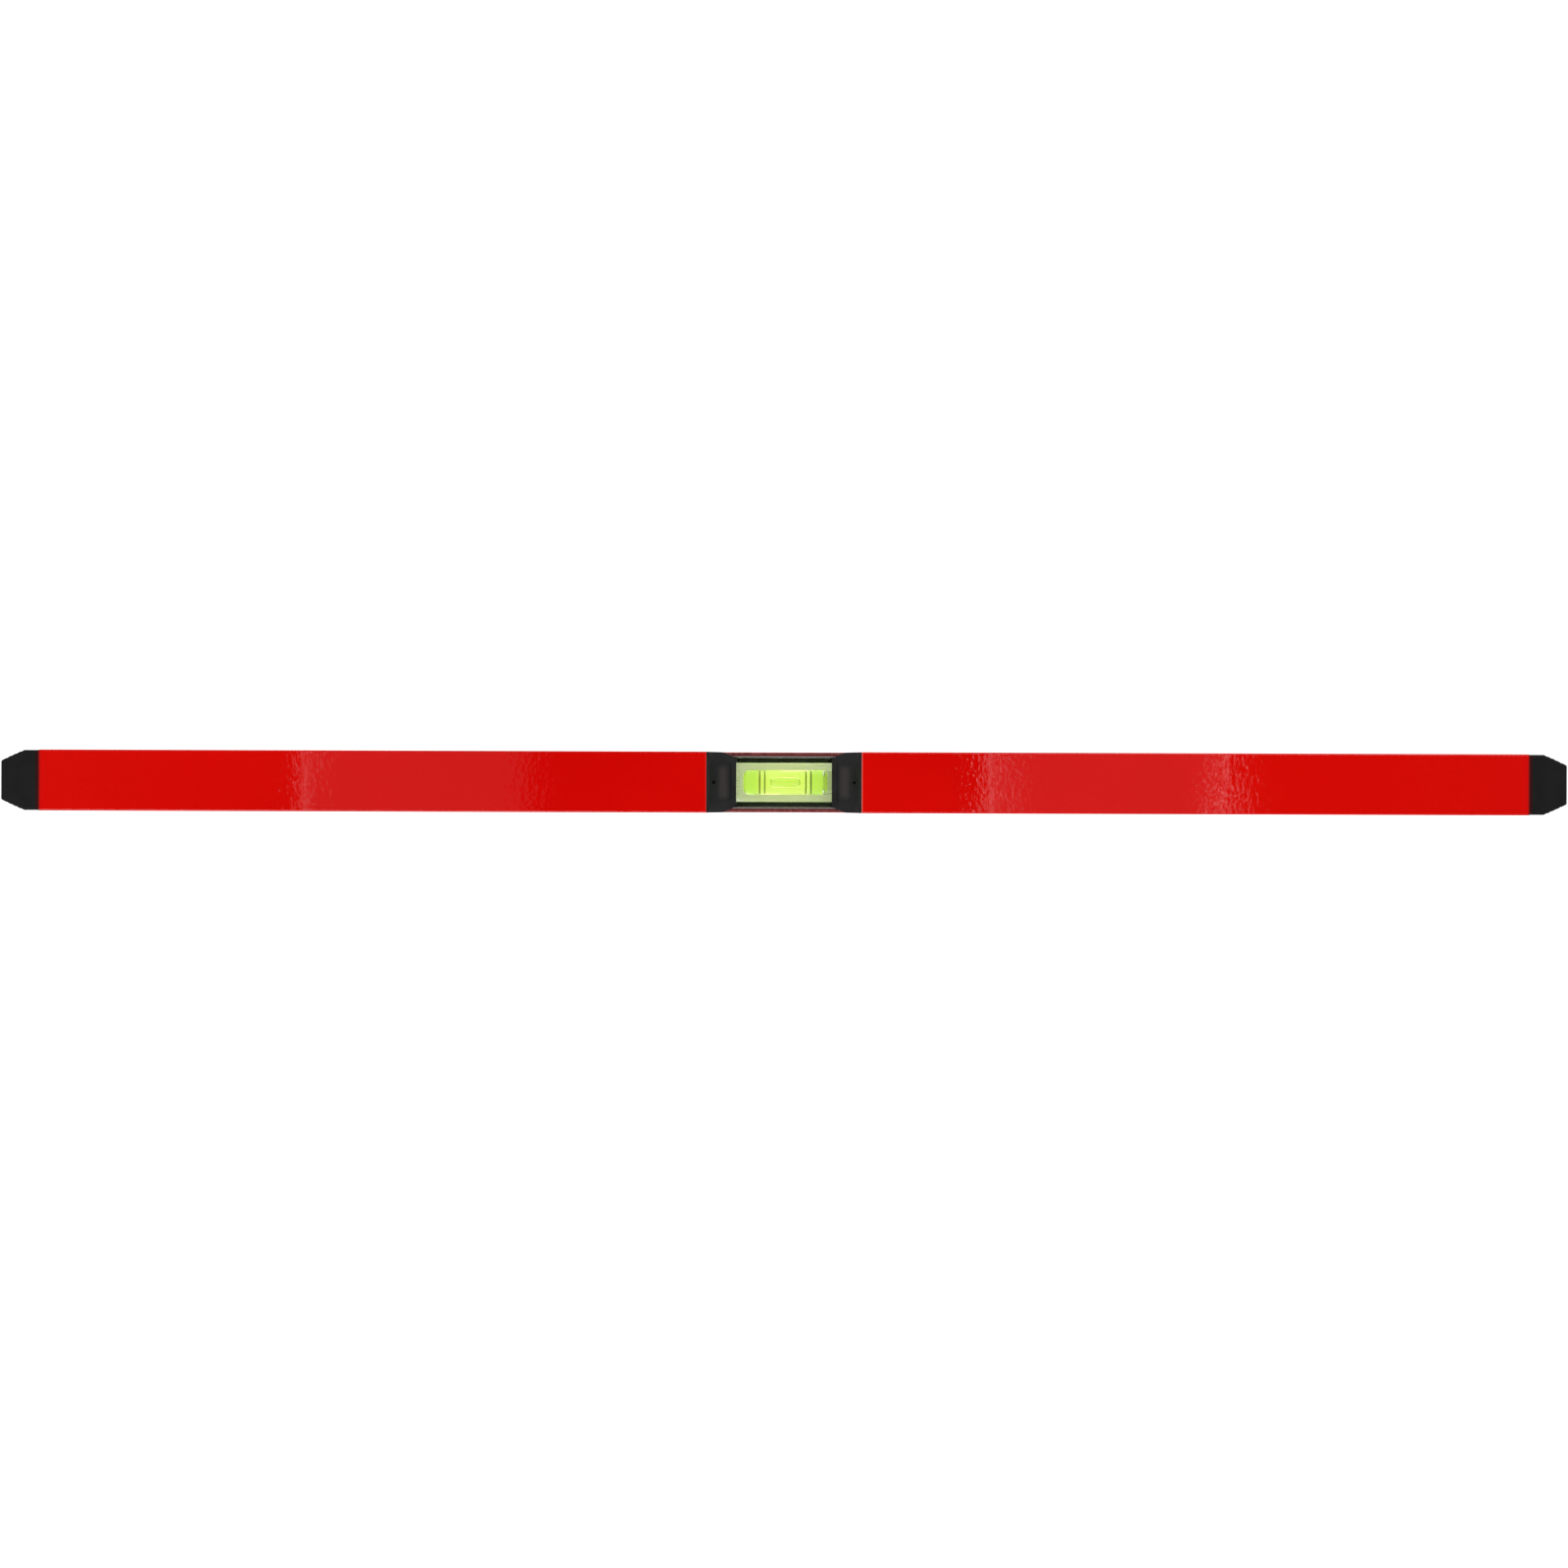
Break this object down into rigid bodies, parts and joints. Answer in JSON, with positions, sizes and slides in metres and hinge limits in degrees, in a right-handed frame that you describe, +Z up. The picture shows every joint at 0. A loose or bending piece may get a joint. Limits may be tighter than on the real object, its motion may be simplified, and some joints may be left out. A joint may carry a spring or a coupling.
{
  "type": "spirit level",
  "caption": "Straight box-section spirit level with a top-reading vial in a centre notch, two plumb vials and end caps.",
  "frame": {"origin": "centre of the lower measuring face", "axes": "+X along the level, +Y across it, +Z up from the lower measuring face towards the centre vial's notch"},
  "size_m": [0.6, 0.0234, 0.058],
  "materials": {
    "red_coat": "gloss",
    "black_plastic": "satin",
    "white_backing": "matte",
    "clear_acrylic": "polished",
    "pale_plug": "gloss",
    "vial_liquid": "polished",
    "vial_air": "polished",
    "line_black": "satin"
  },
  "bodies": {
    "level": {"profile": "red_coat", "left_end_cap": "black_plastic", "right_end_cap": "black_plastic", "centre_vial_holder": "black_plastic", "centre_vial_backing": "white_backing", "centre_front_pane": "clear_acrylic", "centre_back_pane": "clear_acrylic", "centre_vial_block": "clear_acrylic", "centre_vial_plug": "pale_plug", "centre_vial_liquid": "vial_liquid", "centre_vial_lines": "line_black", "left_plumb_vial_block": "clear_acrylic", "left_plumb_vial_plug": "pale_plug", "left_plumb_vial_liquid": "vial_liquid", "left_plumb_vial_lines": "line_black", "right_plumb_vial_block": "clear_acrylic", "right_plumb_vial_plug": "pale_plug", "right_plumb_vial_liquid": "vial_liquid", "right_plumb_vial_lines": "line_black", "left_plumb_frame_front": "black_plastic", "left_plumb_frame_back": "black_plastic", "right_plumb_frame_front": "black_plastic", "right_plumb_frame_back": "black_plastic"},
    "centre_bubble": {"centre_vial_bubble": "vial_air"},
    "left_plumb_bubble": {"left_plumb_vial_bubble": "vial_air"},
    "right_plumb_bubble": {"right_plumb_vial_bubble": "vial_air"}
  },
  "joints": [
    {"name": "centre_bubble_slide", "type": "slide", "parent": "level", "child": "centre_bubble", "axis": [1, 0, 0], "range_m": [-0.0094, 0.0094]},
    {"name": "left_plumb_bubble_slide", "type": "slide", "parent": "level", "child": "left_plumb_bubble", "axis": [0, 0, 1], "range_m": [-0.0272, 0], "stiffness_N_per_m": 0.03, "springref_m": 0.06},
    {"name": "right_plumb_bubble_slide", "type": "slide", "parent": "level", "child": "right_plumb_bubble", "axis": [0, 0, 1], "range_m": [-0.0272, 0], "stiffness_N_per_m": 0.03, "springref_m": 0.06}
  ]
}
